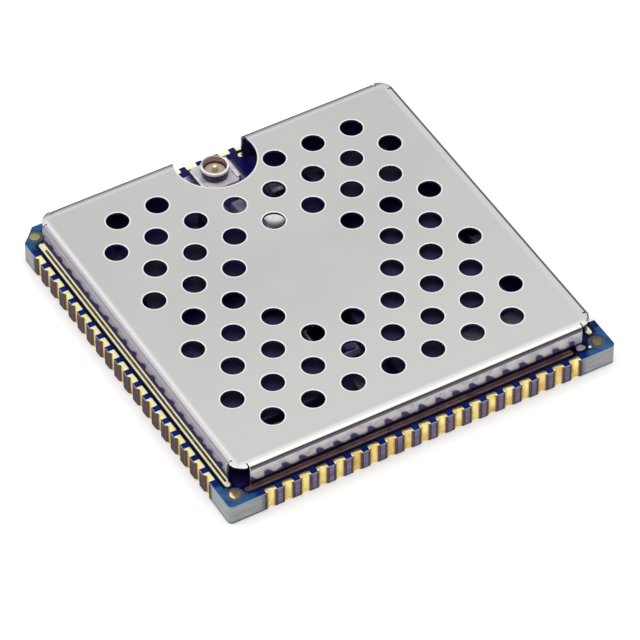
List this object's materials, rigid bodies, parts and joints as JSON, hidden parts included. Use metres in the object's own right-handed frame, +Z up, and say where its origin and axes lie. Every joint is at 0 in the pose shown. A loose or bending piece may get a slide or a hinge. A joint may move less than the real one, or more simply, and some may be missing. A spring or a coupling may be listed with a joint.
{
  "type": "wifi bluetooth module",
  "caption": "Square circuit module with plated edge contacts, a pierced folded shield can and a miniature antenna socket in a round notch at the back edge.",
  "frame": {"origin": "centre of the board's underside", "axes": "+X to the right along the front edge, +Y to the back edge with the antenna socket, +Z up out of the shield can"},
  "size_m": [0.029, 0.029, 0.0035],
  "materials": {
    "laminate": "matte cut glass laminate",
    "solder_mask": "glossy dark blue coat",
    "gold": "pale gold plating",
    "tinned_sheet": "satin bright plated sheet",
    "plated_silver": "bright silver plating",
    "pale_moulding": "pale heat-proof moulding",
    "black_moulding": "matte black moulding",
    "grey_moulding": "matte dark grey moulding",
    "pale_ceramic": "matte pale ceramic",
    "brown_ceramic": "matte tan ceramic",
    "tin": "bright tin"
  },
  "bodies": {
    "root": {"board_laminate": "laminate", "top_solder_mask": "solder_mask", "bottom_solder_mask": "solder_mask", "front_contacts": "gold", "back_contacts": "gold", "left_contacts": "gold", "right_contacts": "gold", "front_shield_land": "gold", "back_shield_land": "gold", "left_shield_land": "gold", "right_shield_land": "gold", "corner_marks": "gold", "underside_ground_lands": "gold", "shield_can": "tinned_sheet", "antenna_socket_lands": "gold", "antenna_socket_insulator": "pale_moulding", "antenna_socket_shell": "plated_silver", "antenna_socket_pin": "gold", "processor_chip": "black_moulding", "memory_chip": "black_moulding", "storage_chip": "black_moulding", "wireless_chip": "black_moulding", "power_chip": "black_moulding", "antenna_filter": "pale_ceramic", "crystal_trays": "pale_ceramic", "crystal_lids": "plated_silver", "power_inductors": "grey_moulding", "capacitor_bodies": "brown_ceramic", "capacitor_ends": "tin", "resistor_bodies": "black_moulding", "resistor_ends": "tin"}
  },
  "joints": []
}
